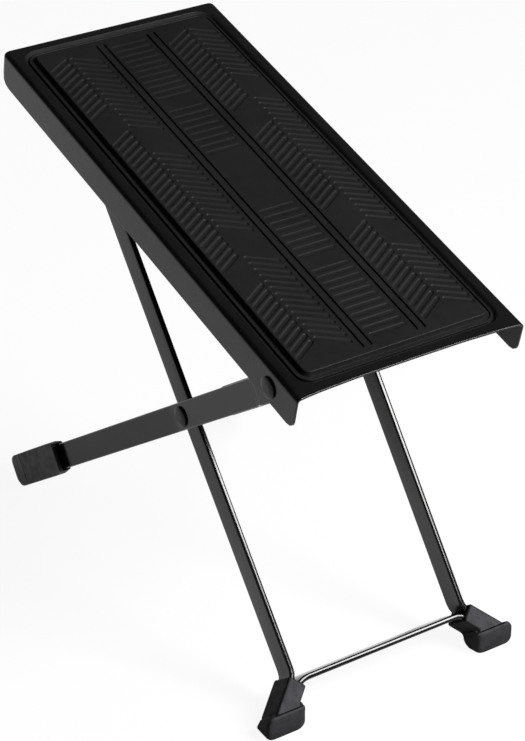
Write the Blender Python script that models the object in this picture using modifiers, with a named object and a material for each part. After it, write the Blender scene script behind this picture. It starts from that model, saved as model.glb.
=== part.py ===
import math

import bmesh
import bpy
from mathutils import Matrix, Vector

for item in list(bpy.data.objects):
    bpy.data.objects.remove(item, do_unlink=True)

# Standing geometry, metres and degrees
pivotHeight = 0.124
pivotAhead = 0.0285
pivotSpacing = 0.111
plateTilt = 13.24
frontSlope = 50.23
rearSlope = 35.83

# Clearance left between touching pieces
fitGap = 0.0003

# Folded sheet footplate
plateLength = 0.2852
plateWidth = 0.125
flangeDepth = 0.0184
sheetThickness = 0.0012
bendRadius = 0.0025
farCornerRadius = 0.0033
farLipDepth = 0.005
flangeCornerRadius = 0.005
nearSetback = 0.0018
hingeInset = 0.0217
hingeDrop = 0.0107

# Sunk tray in the footplate
trayDepth = 0.002
trayRimSide = 0.0059
trayRimNear = 0.006
trayRimFar = 0.0055
trayWallRun = 0.0024
trayCornerRadius = 0.0075

# Rubber pad
padBorderHeight = 0.001
padBorderWidth = 0.0032
padHeight = 0.0029
padShoulder = 0.0004
padGrooveWidth = 0.0014
padGrooveDepth = 0.0008
padGrooveLines = (0.0085, 0.0135, 0.032, 0.0365)
padGrooveMargin = 0.004

# Lock racks
rackInset = 0.015
rackFlangeWidth = 0.010
rackThickness = 0.0015
rackDepth = 0.004
rackPitch = 0.0155
rackMargin = 0.0065
rackNotches = 5
notchDepth = 0.0025

# Flat bar legs
frontBarWidth = 0.014
frontBarThickness = 0.003
frontBarInset = 0.0107
footPinch = 0.0009
pinchRadius = 0.4
rearBarWidth = 0.014
rearBarThickness = 0.003
barSideGap = 0.0004
barEdgeRadius = 0.0009
barBendRadius = 0.005

# Bent ears and cross bar of the front frame
crossbarRise = 0.0213
earReach = 0.0145
earAngle = 43.3
earSpacing = 0.0038
earShoulder = 0.0026
earBendRadius = 0.0105

# Rear legs
tabLength = 0.0169
joggleLength = 0.0105
splayStart = 0.009
splayInset = 0.0132
splayOut = 0.0138
splayBendRadius = 0.040

# Rod and rivets
rodRadius = 0.004
rodTenonRadius = 0.0029
rodHeadRadius = 0.0046
headHeight = 0.0013
rivetHeadRadius = 0.0053
rivetShankRadius = 0.0025
rivetTailRadius = 0.0042
holeClearance = 0.0002

# Front feet, outline measured from the cross bar line and the foot's bar line
footFront = 0.010
footBack = 0.0098
footToe = 0.0023
footCollar = (-0.0038, 0.0032)
footSleeveEnd = (0.0112, 0.0170)
footShoulder = (0.0112, 0.0199)
footOuter = (0.0150, 0.0229)
footInner = (0.0115, 0.0004)
footWaist = (0.0100, 0.0023)
footLip = (0.0035, -0.0037)
footMouth = 0.022
footBevel = 0.0007

# Rear caps
capWidth = 0.009
capHeight = 0.0184
capMouthTop = 0.0084
capMouthBottom = 0.0081
capLength = 0.0758
capShoulder = 0.036
capTaper = 0.0206
capNoseWidth = 0.0048
capTip = 0.0052
capNose = 0.0055
capBevel = 0.001
capFloor = 0.007

tilt = math.radians(plateTilt)
front = math.radians(frontSlope)
rear = math.radians(rearSlope)
plateAngle = rear + tilt
rodAngle = front - tilt
trayBelow = trayDepth + sheetThickness
rackTop = trayBelow + fitGap
rackCrest = rackTop + rackDepth
rodDrop = rackCrest + fitGap + rodRadius
rodReach = (pivotSpacing * math.sin(plateAngle) + hingeDrop - rodDrop) / math.sin(rodAngle)
rodAlong = hingeInset + pivotSpacing * math.cos(plateAngle) + rodReach * math.cos(rodAngle)
flangeInner = plateWidth / 2 - sheetThickness
frontBarSpread = plateWidth / 2 - frontBarInset
tabSpread = flangeInner - fitGap - rearBarThickness / 2
rearBarSpread = frontBarSpread + frontBarThickness / 2 + barSideGap + rearBarThickness / 2
footSpread = frontBarSpread - footPinch
capSpread = rearBarSpread + splayOut
frontFloor = pivotHeight / math.sin(front)
rearFloor = pivotHeight / math.sin(rear)
crossbarAt = frontFloor - crossbarRise
capEnd = -(rearFloor - capTip)
capMouth = capEnd + capLength
splayEnd = splayInset - capMouth

partCollection = bpy.data.collections.new("guitar_footrest")
cutterCollection = bpy.data.collections.new("footrest_cutters")
for group in (partCollection, cutterCollection):
    bpy.context.scene.collection.children.link(group)


def addFrame(name, place, turn, parent=None):
    frame = bpy.data.objects.new(name, None)
    frame.location = place
    frame.rotation_euler = (0, turn, 0)
    frame.parent = parent
    frame.empty_display_size = 0.02
    partCollection.objects.link(frame)
    return frame


# Front frame, rear legs and footplate each hang from the axis they turn on
frontAxis = addFrame("front_axis", (pivotAhead, 0, pivotHeight), front)
rearAxis = addFrame("rear_axis", (pivotAhead, 0, pivotHeight), -rear)
plateAxis = addFrame("plate_axis", (pivotSpacing, 0, 0), rear + tilt, rearAxis)


def makeMaterial(name, colour, metallic, roughness):
    material = bpy.data.materials.new(name)
    material.use_nodes = True
    shader = material.node_tree.nodes["Principled BSDF"]
    shader.inputs["Base Color"].default_value = (*colour, 1)
    shader.inputs["Metallic"].default_value = metallic
    shader.inputs["Roughness"].default_value = roughness
    material.diffuse_color = (*colour, 1)
    return material


def finishObject(name, mesh, parent, group, sharpAngle):
    built = bpy.data.objects.new(name, mesh)
    built.parent = parent
    group.objects.link(built)
    mesh.shade_smooth()
    mesh.set_sharp_from_angle(angle=math.radians(sharpAngle))
    return built


def addPart(name, shape, parent, look, sharpAngle=32):
    mesh = bpy.data.meshes.new(name)
    bmesh.ops.recalc_face_normals(shape, faces=shape.faces)
    shape.to_mesh(mesh)
    shape.free()
    mesh.materials.append(makeMaterial(name, *look))
    return finishObject(name, mesh, parent, partCollection, sharpAngle)


def addCutter(name, shape, parent):
    mesh = bpy.data.meshes.new(name)
    bmesh.ops.recalc_face_normals(shape, faces=shape.faces)
    shape.to_mesh(mesh)
    shape.free()
    cutter = finishObject(name, mesh, parent, cutterCollection, 32)
    cutter.hide_render = True
    cutter.display_type = "WIRE"
    return cutter


def cutWith(target, cutter):
    modifier = target.modifiers.new(cutter.name, "BOOLEAN")
    modifier.operation = "DIFFERENCE"
    modifier.solver = "EXACT"
    modifier.object = cutter


def addBevel(target, width, segments, angle=35):
    modifier = target.modifiers.new("edge_round", "BEVEL")
    modifier.width = width
    modifier.segments = segments
    modifier.limit_method = "ANGLE"
    modifier.angle_limit = math.radians(angle)
    modifier.harden_normals = False
    modifier.use_clamp_overlap = True


# Closed tube through rings of equal point counts, flat at both ends
def loftRings(rings, shape=None):
    shape = shape or bmesh.new()
    loops = [[shape.verts.new(point) for point in ring] for ring in rings]
    count = len(loops[0])
    for lower, upper in zip(loops, loops[1:]):
        for i in range(count):
            j = (i + 1) % count
            shape.faces.new((lower[i], lower[j], upper[j], upper[i]))
    shape.faces.new(list(reversed(loops[0])))
    shape.faces.new(loops[-1])
    return shape


# Round solid about an axis along Y, from pairs of y and radius
def lathe(stations, segments=32, centre=(0, 0), shape=None):
    rings = []
    for y, radius in stations:
        ring = []
        for i in range(segments):
            angle = 2 * math.pi * i / segments
            x = centre[0] + radius * math.cos(angle)
            z = centre[1] + radius * math.sin(angle)
            ring.append(Vector((x, y, z)))
        rings.append(ring)
    return loftRings(rings, shape)


# Solid of a flat outline, pulled along Y or Z
def prism(outline, low, high, axis):
    rings = []
    for depth in (low, high):
        if axis == "Y":
            rings.append([Vector((x, depth, z)) for x, z in outline])
        else:
            rings.append([Vector((x, y, depth)) for x, y in outline])
    return loftRings(rings)


# Slices off what lies below a plane and closes the cut
def cutFloor(shape, spot, up):
    everything = shape.verts[:] + shape.edges[:] + shape.faces[:]
    result = bmesh.ops.bisect_plane(shape, geom=everything, dist=1e-6, plane_co=spot,
                                    plane_no=up, clear_inner=True)
    rim = [piece for piece in result["geom_cut"] if isinstance(piece, bmesh.types.BMEdge)]
    bmesh.ops.edgenet_fill(shape, edges=rim)


# Line with rounded corners, as pairs of place and heading
def roundPath(points, radii, stepAngle=15):
    spots = [Vector(point) for point in points]
    path = [(spots[0], (spots[1] - spots[0]).normalized())]
    for before, corner, after, radius in zip(spots, spots[1:], spots[2:], radii):
        arriving = (corner - before).normalized()
        leaving = (after - corner).normalized()
        turn = arriving.angle_signed(leaving)
        reach = radius * math.tan(abs(turn) / 2)
        side = Vector((-arriving.y, arriving.x)) * (1 if turn < 0 else -1)
        centre = corner - arriving * reach + side * radius
        steps = max(2, math.ceil(math.degrees(abs(turn)) / stepAngle))
        for i in range(steps + 1):
            angle = -turn * i / steps
            arm = Matrix.Rotation(angle, 2) @ (-side * radius)
            path.append((centre + arm, Matrix.Rotation(angle, 2) @ arriving))
    path.append((spots[-1], (spots[-1] - spots[-2]).normalized()))
    return path


def barRing(place, heading, halfThick, halfWide):
    edge = min(barEdgeRadius, halfWide * 0.5)
    across = Vector((-heading.y, heading.x))
    ring = []
    for sideX, sideZ in ((1, 1), (-1, 1), (-1, -1), (1, -1)):
        corner = [(1.0, 0.0), (0.7071, 0.7071), (0.0, 1.0)]
        if sideX * sideZ < 0:
            corner.reverse()
        for a, b in corner:
            offset = sideX * (halfThick - edge + edge * a)
            height = sideZ * (halfWide - edge + edge * b)
            spot = place + across * offset
            ring.append(Vector((spot.x, spot.y, height)))
    return ring


# Flat bar bent along a path, with half-round ends where asked
def bentBar(path, width, thickness, roundStart, roundEnd):
    half = width / 2
    rings = []
    endAngles = [math.radians(angle) for angle in (82, 70, 56, 42, 28, 14)]
    if roundStart:
        place, heading = path[0]
        for angle in endAngles:
            spot = place - heading * half * math.sin(angle)
            rings.append(barRing(spot, heading, thickness / 2, half * math.cos(angle)))
    for place, heading in path:
        rings.append(barRing(place, heading, thickness / 2, half))
    if roundEnd:
        place, heading = path[-1]
        for angle in reversed(endAngles):
            spot = place + heading * half * math.sin(angle)
            rings.append(barRing(spot, heading, thickness / 2, half * math.cos(angle)))
    return loftRings(rings)


def plateSpot(along, across, height):
    return Vector((hingeInset - along, across, height + hingeDrop))


# Rounded rectangle on the plate, near corner first, with the near edge split in four
def roundedLoop(low, high, side, radius, level):
    loop = []
    for corner in range(4):
        for i in range(6):
            share = math.radians(18 * i)
            if corner % 2:
                share = math.pi / 2 - share
            reach = radius * math.cos(share)
            slide = side - radius + radius * math.sin(share)
            along = low + radius - reach if corner in (0, 3) else high - radius + reach
            loop.append(plateSpot(along, -slide if corner < 2 else slide, level))
    for part in (0.5, 0, -0.5):
        loop.append(plateSpot(low, part * side, level))
    return loop


def trayLoop(grow, level):
    low = trayRimNear + trayWallRun - grow
    high = plateLength - trayRimFar - trayWallRun + grow
    side = plateWidth / 2 - trayRimSide - trayWallRun + grow
    return roundedLoop(low, high, side, trayCornerRadius + grow, level)


# Edge line of the sheet: bend in degrees, or the flange edge itself
def sheetLoop(bend, flange):
    angle = math.radians(bend)
    out = bendRadius * math.sin(angle)
    drop = bendRadius * (1 - math.cos(angle))
    straight = plateLength - farCornerRadius
    halfCorner = plateWidth / 2 - farCornerRadius
    side = plateWidth / 2 - bendRadius + out
    plan = farCornerRadius - bendRadius + out
    farLift = flangeDepth - farLipDepth
    quarter = []
    for turn in (0, 30, 60, 90):
        arm = math.radians(turn)
        lift = flangeCornerRadius * (1 - math.sin(arm))
        quarter.append((flangeCornerRadius * (1 - math.cos(arm)), side, lift))
    for turn in (0, 30, 60):
        arm = math.radians(turn)
        lift = flangeCornerRadius * (1 - math.cos(arm))
        quarter.append((straight - flangeCornerRadius * (1 - 1.155 * math.sin(arm)), side, lift))
    for turn, climb in ((40, 0), (70, 0.5), (90, 1)):
        arm = math.radians(turn)
        lift = flangeCornerRadius + climb * (farLift - flangeCornerRadius)
        place = (straight + plan * math.sin(arm), halfCorner + plan * math.cos(arm), lift)
        quarter.append(place)

    def nearEdge(across):
        share = abs(across) / (plateWidth / 2 - bendRadius)
        return plateSpot(nearSetback * (1 - share ** 4), across, -drop)

    corners = (0.955 * side, 0.83 * side)
    loop = [nearEdge(-corners[1]), nearEdge(-corners[0])]
    for hand, places in ((-1, quarter), (1, list(reversed(quarter)))):
        for along, across, lift in places:
            level = -flangeDepth + lift if flange else -drop
            loop.append(plateSpot(along, hand * across, level))
    loop += [nearEdge(corners[0]), nearEdge(corners[1])]
    for part in (0.5, 0, -0.5):
        loop.append(nearEdge(part * side))
    return loop


# Footplate: tray, rim, bends and flanges as one sheet surface, then its thickness
trayWall = ((0, 1), (0.2, 0.94), (0.4, 0.73), (0.6, 0.27), (0.8, 0.06), (1, 0))
sheetSurface = bmesh.new()
rows = [trayLoop(trayWallRun * run, -trayDepth * deep) for run, deep in trayWall]
for bend in (0, 30, 60, 90):
    rows.append(sheetLoop(bend, False))
rows.append(sheetLoop(90, True))
grid = [[sheetSurface.verts.new(spot) for spot in row] for row in rows]
sheetSurface.faces.new(grid[0])
around = len(grid[0])
skirtFirst = 2
skirtLast = 21
for index, (inner, outer) in enumerate(zip(grid, grid[1:])):
    skirt = index >= len(trayWall)
    for i in range(around):
        j = (i + 1) % around
        if skirt and not skirtFirst <= i < skirtLast:
            continue
        sheetSurface.faces.new((inner[i], outer[i], outer[j], inner[j]))
for vert in [spot for spot in sheetSurface.verts if not spot.link_faces]:
    sheetSurface.verts.remove(vert)
bmesh.ops.recalc_face_normals(sheetSurface, faces=sheetSurface.faces)
sheetSurface.faces.ensure_lookup_table()
if sheetSurface.faces[0].normal.z < 0:
    bmesh.ops.reverse_faces(sheetSurface, faces=sheetSurface.faces)
sheetMesh = bpy.data.meshes.new("footplate")
sheetSurface.to_mesh(sheetMesh)
sheetSurface.free()
steelLook = ((0.055, 0.055, 0.055), 0.35, 0.42)
sheetMesh.materials.append(makeMaterial("footplate", *steelLook))
footplate = finishObject("footplate", sheetMesh, plateAxis, partCollection, 35)
thicken = footplate.modifiers.new("sheet", "SOLIDIFY")
thicken.thickness = sheetThickness
thicken.offset = -1
thicken.use_even_offset = True
hingeHoles = lathe([(-plateWidth, rivetShankRadius + holeClearance),
                    (plateWidth, rivetShankRadius + holeClearance)], 32)
cutWith(footplate, addCutter("cut_hinge_holes", hingeHoles, plateAxis))

# Rubber pad: border, raised field and long grooves
padBase = -trayDepth + fitGap
padLoops = []
padSteps = (
    (0, 0),
    (0, padBorderHeight - padShoulder),
    (padShoulder, padBorderHeight),
    (padBorderWidth, padBorderHeight),
    (padBorderWidth + padShoulder, padHeight - padShoulder),
    (padBorderWidth + 2 * padShoulder, padHeight),
)
for inset, rise in padSteps:
    padLoops.append(trayLoop(-fitGap - inset, padBase + rise))
rubberLook = ((0.03, 0.03, 0.032), 0.0, 0.6)
pad = addPart("rubber_pad", loftRings(padLoops), plateAxis, rubberLook)
grooves = bmesh.new()
fieldInset = trayWallRun + fitGap + padBorderWidth + 2 * padShoulder
fieldSide = plateWidth / 2 - trayRimSide - fieldInset
grooveEnds = (trayRimNear + fieldInset + padGrooveMargin,
              plateLength - trayRimFar - fieldInset - padGrooveMargin)
for hand in (-1, 1):
    for line in padGrooveLines:
        across = hand * (fieldSide - line)
        rings = []
        for along in grooveEnds:
            ring = []
            for side, rise in ((-1, -padGrooveDepth), (1, -padGrooveDepth), (1, 1e-3), (-1, 1e-3)):
                ring.append(plateSpot(along, across + side * padGrooveWidth / 2,
                                      padBase + padHeight + rise))
            rings.append(ring)
        loftRings(rings, grooves)
cutWith(pad, addCutter("cut_pad_grooves", grooves, plateAxis))

# Lock racks under the tray, one angle strip a side, notched for the rod
rackLow = rodAlong - rackMargin
rackHigh = rodAlong + rackPitch * (rackNotches - 1) + rackMargin
notchRadius = rodRadius + fitGap
webOuter = plateWidth / 2 - rackInset
for hand, sideName in ((-1, "left"), (1, "right")):
    section = (
        (webOuter, -rackTop),
        (webOuter, -rackCrest),
        (webOuter - rackThickness, -rackCrest),
        (webOuter - rackThickness, -rackTop - rackThickness),
        (webOuter - rackFlangeWidth, -rackTop - rackThickness),
        (webOuter - rackFlangeWidth, -rackTop),
    )
    rings = [[plateSpot(along, hand * across, level) for across, level in section]
             for along in (rackLow, rackHigh)]
    rack = addPart("rack_" + sideName, loftRings(rings), plateAxis, steelLook)
    notches = bmesh.new()
    for i in range(rackNotches):
        spot = plateSpot(rodAlong + rackPitch * i, 0, -rackCrest - notchRadius + notchDepth)
        lathe([(hand * (webOuter - 0.5 * rackFlangeWidth), notchRadius),
               (hand * (webOuter + rackThickness), notchRadius)], 32, (spot.x, spot.z), notches)
    cutWith(rack, addCutter("cut_notches_" + sideName, notches, plateAxis))

# Front leg frame: one flat bar, hairpin ears at the feet and the cross bar between
earTurn = math.radians(earAngle)
earOut = Vector((math.cos(earTurn), math.sin(earTurn)))
earDown = Vector((math.sin(earTurn), -math.cos(earTurn)))
crossSpot = Vector((0, frontBarSpread))
earRoot = Vector((crossbarAt - earShoulder, footSpread))
earUpper = earRoot + earOut * earReach
earLower = earUpper + earDown * earSpacing
earBack = earLower - earOut * ((earLower.x - crossbarAt) / earOut.x)
halfLine = [Vector((-rodReach, frontBarSpread)), crossSpot, earRoot, earUpper, earLower, earBack]
framePoints = [Vector((spot.x, -spot.y)) for spot in halfLine] + list(reversed(halfLine))
tipRadius = earSpacing / 2 - fitGap / 3
earRadii = [earBendRadius, tipRadius, tipRadius, earBendRadius]
halfRadii = [pinchRadius] + earRadii
framePath = roundPath(framePoints, halfRadii + list(reversed(halfRadii)))
frontFrame = addPart(
    "front_leg_frame",
    bentBar(framePath, frontBarWidth, frontBarThickness, True, True),
    frontAxis,
    steelLook,
)
frameHoles = bmesh.new()
for place, radius in ((-rodReach, rodTenonRadius), (0, rivetShankRadius)):
    hole = radius + holeClearance
    lathe([(-plateWidth, hole), (plateWidth, hole)], 32, (place, 0), frameHoles)
cutWith(frontFrame, addCutter("cut_frame_holes", frameHoles, frontAxis))

# Lock rod with peened heads outside the bars
rodFace = frontBarSpread - frontBarThickness / 2 - fitGap
rodHead = frontBarSpread + frontBarThickness / 2 + fitGap
halfRod = [
    (rodHead + headHeight, 0.55 * rodHeadRadius),
    (rodHead + 0.8 * headHeight, 0.86 * rodHeadRadius),
    (rodHead + 0.4 * headHeight, rodHeadRadius),
    (rodHead, rodHeadRadius),
    (rodHead, rodTenonRadius),
    (rodFace, rodTenonRadius),
    (rodFace, rodRadius),
]
rodStations = [(-y, radius) for y, radius in halfRod] + list(reversed(halfRod))
addPart("lock_rod", lathe(rodStations, 32, (-rodReach, 0)), frontAxis, steelLook)


# Domed head outside, shank through both bars, clenched tail inside
def rivet(name, parent, hand, headFace, tailFace):
    stations = (
        (headFace + headHeight, 0.5 * rivetHeadRadius),
        (headFace + 0.82 * headHeight, 0.82 * rivetHeadRadius),
        (headFace + 0.45 * headHeight, rivetHeadRadius),
        (headFace, rivetHeadRadius),
        (headFace, rivetShankRadius),
        (tailFace, rivetShankRadius),
        (tailFace, rivetTailRadius),
        (tailFace - 0.7 * headHeight, rivetTailRadius),
        (tailFace - headHeight, 0.7 * rivetTailRadius),
    )
    addPart(name, lathe([(hand * y, radius) for y, radius in stations]), parent, steelLook)


# Rear legs, rivets, caps and feet, a pair of each
earCover = frontBarThickness / 2 + fitGap
footFloor = frontFloor + footFront + footBack
legStart = earRoot + (crossSpot - earRoot).normalized() * footMouth
barStart = Vector((crossbarAt, footSpread - footMouth))
earPath = roundPath([legStart, earRoot, earUpper, earLower, earBack, barStart], earRadii)
footPocketLine = [place + Vector((-heading.y, heading.x)) * earCover for place, heading in earPath]
footPocketLine += [
    Vector((crossbarAt - earCover, barStart.y)),
    Vector((crossbarAt - earCover, footSpread - earCover)),
    Vector((legStart.x, legStart.y - earCover)),
]
splaySlope = splayOut / (splayEnd - splayStart)
barFoot = capEnd + capFloor
for hand, sideName in ((-1, "left"), (1, "right")):
    legPoints = (
        (pivotSpacing, hand * tabSpread),
        (pivotSpacing - tabLength, hand * tabSpread),
        (pivotSpacing - tabLength - joggleLength, hand * rearBarSpread),
        (-splayStart, hand * rearBarSpread),
        (-splayEnd, hand * capSpread),
        (barFoot, hand * capSpread),
    )
    legPath = roundPath(legPoints, (barBendRadius, barBendRadius, splayBendRadius, splayBendRadius))
    legShape = bentBar(legPath, rearBarWidth, rearBarThickness, True, False)
    leg = addPart("rear_leg_" + sideName, legShape, rearAxis, steelLook)
    legHoles = bmesh.new()
    hole = rivetShankRadius + holeClearance
    for place in (0, pivotSpacing):
        lathe([(hand * headHeight, hole), (hand * plateWidth, hole)], 32, (place, 0), legHoles)
    cutWith(leg, addCutter("cut_leg_holes_" + sideName, legHoles, rearAxis))

    rivet("pivot_rivet_" + sideName, plateAxis, hand, plateWidth / 2 + fitGap,
          tabSpread - rearBarThickness / 2 - fitGap)
    rivet("cross_rivet_" + sideName, rearAxis, hand,
          rearBarSpread + rearBarThickness / 2 + fitGap,
          frontBarSpread - frontBarThickness / 2 - fitGap)

    # Rear cap: long moulded sleeve, narrowed toward its nose and cut flat where it stands
    capSections = [
        (capMouth, -capMouthBottom, capMouthTop),
        (capMouth - capShoulder, -capHeight / 2, capHeight / 2),
        (capEnd + capTaper, -capHeight / 2, capHeight / 2),
    ]
    for i in range(4):
        arm = math.radians(30 * i)
        capSections.append((capEnd + capNose * (1 - math.sin(arm)), -capHeight / 2,
                            capHeight / 2 - capNose * (1 - math.cos(arm))))
    rings = []
    for x, bottom, top in capSections:
        share = max(0, 1 - (x - capEnd) / capTaper)
        halfWide = (capWidth + share * (capNoseWidth - capWidth)) / 2
        rings.append([Vector((x, hand * capSpread + side * halfWide, z))
                      for side, z in ((-1, bottom), (1, bottom), (1, top), (-1, top))])
    capShape = loftRings(rings)
    floorSpot = Vector((-rearFloor, 0, 0))
    floorUp = Vector((math.sin(rear), 0, math.cos(rear)))
    cutFloor(capShape, floorSpot, floorUp)
    bmesh.ops.dissolve_limit(capShape, angle_limit=math.radians(0.5), verts=capShape.verts,
                             edges=capShape.edges)
    cap = addPart("rear_cap_" + sideName, capShape, rearAxis, rubberLook)
    addBevel(cap, capBevel, 3)
    cover = rearBarThickness / 2 + fitGap
    pastMouth = capMouth + capHeight
    mouthSpread = rearBarSpread + splaySlope * (-pastMouth - splayStart)
    pocketLine = (
        (pastMouth, mouthSpread - cover),
        (-splayEnd, capSpread - cover),
        (barFoot - fitGap, capSpread - cover),
        (barFoot - fitGap, capSpread + cover),
        (-splayEnd, capSpread + cover),
        (pastMouth, capSpread + cover),
    )
    half = rearBarWidth / 2 + fitGap
    capPocket = prism([(x, hand * y) for x, y in pocketLine], -half, half, "Z")
    cutWith(cap, addCutter("cut_cap_" + sideName, capPocket, rearAxis))

    # Front foot: moulded boot over the ear, with a toe block
    footOutline = [(crossbarAt + x, footSpread + y) for x, y in (
        footCollar, footSleeveEnd, footShoulder, footOuter)]
    footOutline.append((footFloor, footSpread + footOuter[1]))
    footOutline.append((footFloor, footSpread + footInner[1]))
    for x, y in (footInner, footWaist, footLip):
        footOutline.append((crossbarAt + x, footSpread + y))
    footShape = prism([(x, hand * y) for x, y in footOutline], -footBack, footFront, "Z")
    cutFloor(footShape, Vector((frontFloor, 0, 0)), Vector((-math.sin(front), 0, math.cos(front))))
    toeSpot = Vector((frontFloor + footToe / math.cos(front), 0, 0))
    cutFloor(footShape, toeSpot, Vector((-math.cos(front), 0, -math.sin(front))))
    foot = addPart("front_foot_" + sideName, footShape, frontAxis, rubberLook)
    addBevel(foot, footBevel, 3)
    half = frontBarWidth / 2 + fitGap
    footPocket = prism([(spot.x, hand * spot.y) for spot in footPocketLine], -half, half, "Z")
    cutWith(foot, addCutter("cut_foot_" + sideName, footPocket, frontAxis))

bpy.context.view_layer.update()
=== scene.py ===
import math

import bmesh
import bpy
from mathutils import Matrix, Vector, geometry


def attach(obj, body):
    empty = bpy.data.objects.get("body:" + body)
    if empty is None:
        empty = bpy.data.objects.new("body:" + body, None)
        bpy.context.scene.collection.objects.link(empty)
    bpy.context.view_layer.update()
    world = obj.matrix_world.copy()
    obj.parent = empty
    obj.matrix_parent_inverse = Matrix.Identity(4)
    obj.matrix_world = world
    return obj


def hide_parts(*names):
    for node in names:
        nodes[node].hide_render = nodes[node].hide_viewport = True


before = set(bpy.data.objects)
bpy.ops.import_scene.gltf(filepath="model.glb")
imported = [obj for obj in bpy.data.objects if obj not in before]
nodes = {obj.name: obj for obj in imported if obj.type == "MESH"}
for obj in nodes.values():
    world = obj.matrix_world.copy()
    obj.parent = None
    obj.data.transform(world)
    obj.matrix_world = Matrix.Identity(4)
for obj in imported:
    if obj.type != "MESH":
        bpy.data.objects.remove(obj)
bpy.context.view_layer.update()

# Where each moving part hangs, metres and degrees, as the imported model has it
axes = {
    "cross": (0.0285, 0.124),  # cross rivets, ahead and up
    "frontSlope": 50.23,
    "rearSlope": 35.83,
    "legSpacing": 0.111,  # from the cross rivet to the pivot rivet
    "plateTilt": 13.24,
    "hingeInset": 0.0217,  # pivot rivet from the plate's near edge
    "hingeDrop": 0.0107,  # and below its rim
}
frontTurn = math.radians(axes["frontSlope"])
rearTurn = math.radians(axes["rearSlope"])
plateTurn = math.radians(axes["plateTilt"])
sides = (("left", -1), ("right", 1))
floorSpot, upward = Vector((0, 0, 0)), Vector((0, 0, 1))


def turnedSpot(pivot, turn, x, y, z):  # x runs down a slope of this turn, z stands square on it
    ahead, up = pivot
    return Vector((ahead + x * math.cos(turn) + z * math.sin(turn), y,
                   up - x * math.sin(turn) + z * math.cos(turn)))


def frontSpot(x, y, z):  # down the front bar from the cross rivet, across, out of the bar's edge
    return turnedSpot(axes["cross"], frontTurn, x, y, z)


def rearSpot(x, y, z):  # up the rear leg from the cross rivet, across, out of the leg's edge
    return turnedSpot(axes["cross"], -rearTurn, x, y, z)


def plateSpot(along, across, height):  # from the near edge, from the middle line, above the rim
    hinge = rearSpot(axes["legSpacing"], 0, 0)
    return turnedSpot((hinge.x, hinge.z), plateTurn, axes["hingeInset"] - along, across,
                      height + axes["hingeDrop"])


def ramp(value, low, high):  # 0 up to low, 1 from high on
    return min(1.0, max(0.0, (value - low) / (high - low)))


def newFinish(name):
    finish = bpy.data.materials.new(name)
    finish.use_nodes = True
    tree = finish.node_tree
    return finish, tree, tree.nodes["Principled BSDF"]


def addNode(tree, kind, settings=None, **values):  # i0, i1 and so on fill an input by its place
    node = tree.nodes.new(kind)
    for key, value in (settings or {}).items():
        setattr(node, key, value)
    for key, value in values.items():
        socket = node.inputs[int(key[1:]) if key[1:].isdigit() else key]
        if isinstance(value, bpy.types.NodeSocket):
            tree.links.new(value, socket)
        else:
            socket.default_value = value
    return node


def objectSpot(tree):
    return addNode(tree, "ShaderNodeTexCoord").outputs["Object"]


def calculate(tree, operation, *values):
    slots = {"i" + str(place): value for place, value in enumerate(values)}
    return addNode(tree, "ShaderNodeMath", {"operation": operation}, **slots).outputs[0]


def noiseAt(tree, spot, scale, detail=3.0, rough=0.55):
    return addNode(tree, "ShaderNodeTexNoise", Vector=spot, Scale=scale, Detail=detail,
                   Roughness=rough).outputs["Fac"]


def spread(tree, value, low, high, outLow=0.0, outHigh=1.0):
    return addNode(tree, "ShaderNodeMapRange", i0=value, i1=low, i2=high, i3=outLow,
                   i4=outHigh).outputs[0]


def roughClouds(tree, spot, look, shift=0.0):
    return spread(tree, noiseAt(tree, spot, look["roughScale"]), *look["roughSpan"],
                  look["roughLow"] + shift, look["roughHigh"] + shift)


def blendColour(tree, factor, first, second):
    node = addNode(tree, "ShaderNodeMix", {"data_type": "RGBA"})
    tree.links.new(factor, node.inputs[0])
    for socket, colour in ((node.inputs[6], first), (node.inputs[7], second)):
        if isinstance(colour, bpy.types.NodeSocket):
            tree.links.new(colour, socket)
        else:
            socket.default_value = (*colour, 1)
    return node.outputs[2]


def addBump(tree, height, depth, strength=1.0, under=None):
    node = addNode(tree, "ShaderNodeBump", Height=height, Distance=depth, Strength=strength)
    if under:
        tree.links.new(under, node.inputs["Normal"])
    return node.outputs["Normal"]


def wear(piece, finish):
    piece.data.materials.clear()
    piece.data.materials.append(finish)


# Stoved black enamel on the sheet, bars, rod and rivets. A span is the part of a noise that
# is spread from none to all of what it drives
enamelLook = {
    "dark": (0.0020, 0.0020, 0.0019),
    "pale": (0.0036, 0.0035, 0.0033),
    "cloudScale": 38.0, "cloudSpan": (0.35, 0.65),
    "roughLow": 0.13, "roughHigh": 0.20, "roughScale": 95.0, "roughSpan": (0.3, 0.7),
    "peelScale": 520.0, "peelDepth": 0.000012, "peelStrength": 0.6, "fineDetail": 2.0,
    "dust": (0.02, 0.02, 0.021),
    "dustScale": 2600.0, "dustDepth": 0.000002, "dustStrength": 0.5,
    "dustSpan": (0.66, 0.78), "dustShare": 0.35,
}

# The pressed tray has a duller coat than the rim round it
tray = {
    "depths": (0.0003, 0.00003),  # below the rim: fully dull, and where it starts
    "sides": (0.0590, 0.0597),  # from the middle line: fully dull, and where it ends
}


def trayMask(tree, spot):  # 1 on the walls and floor of the tray, 0 on the rim and outside
    hinge = plateSpot(0, 0, 0)
    turned = addNode(tree, "ShaderNodeVectorRotate", {"rotation_type": "Y_AXIS"}, Vector=spot,
                     Center=tuple(hinge), Angle=-plateTurn).outputs[0]
    parts = addNode(tree, "ShaderNodeSeparateXYZ", Vector=turned)
    full, start = tray["depths"]
    deep = spread(tree, parts.outputs[2], hinge.z - full, hinge.z - start, 1.0, 0.0)
    beside = calculate(tree, "ABSOLUTE", parts.outputs[1])
    inside = spread(tree, beside, *tray["sides"], 1.0, 0.0)
    return calculate(tree, "MULTIPLY", deep, inside)


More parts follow.
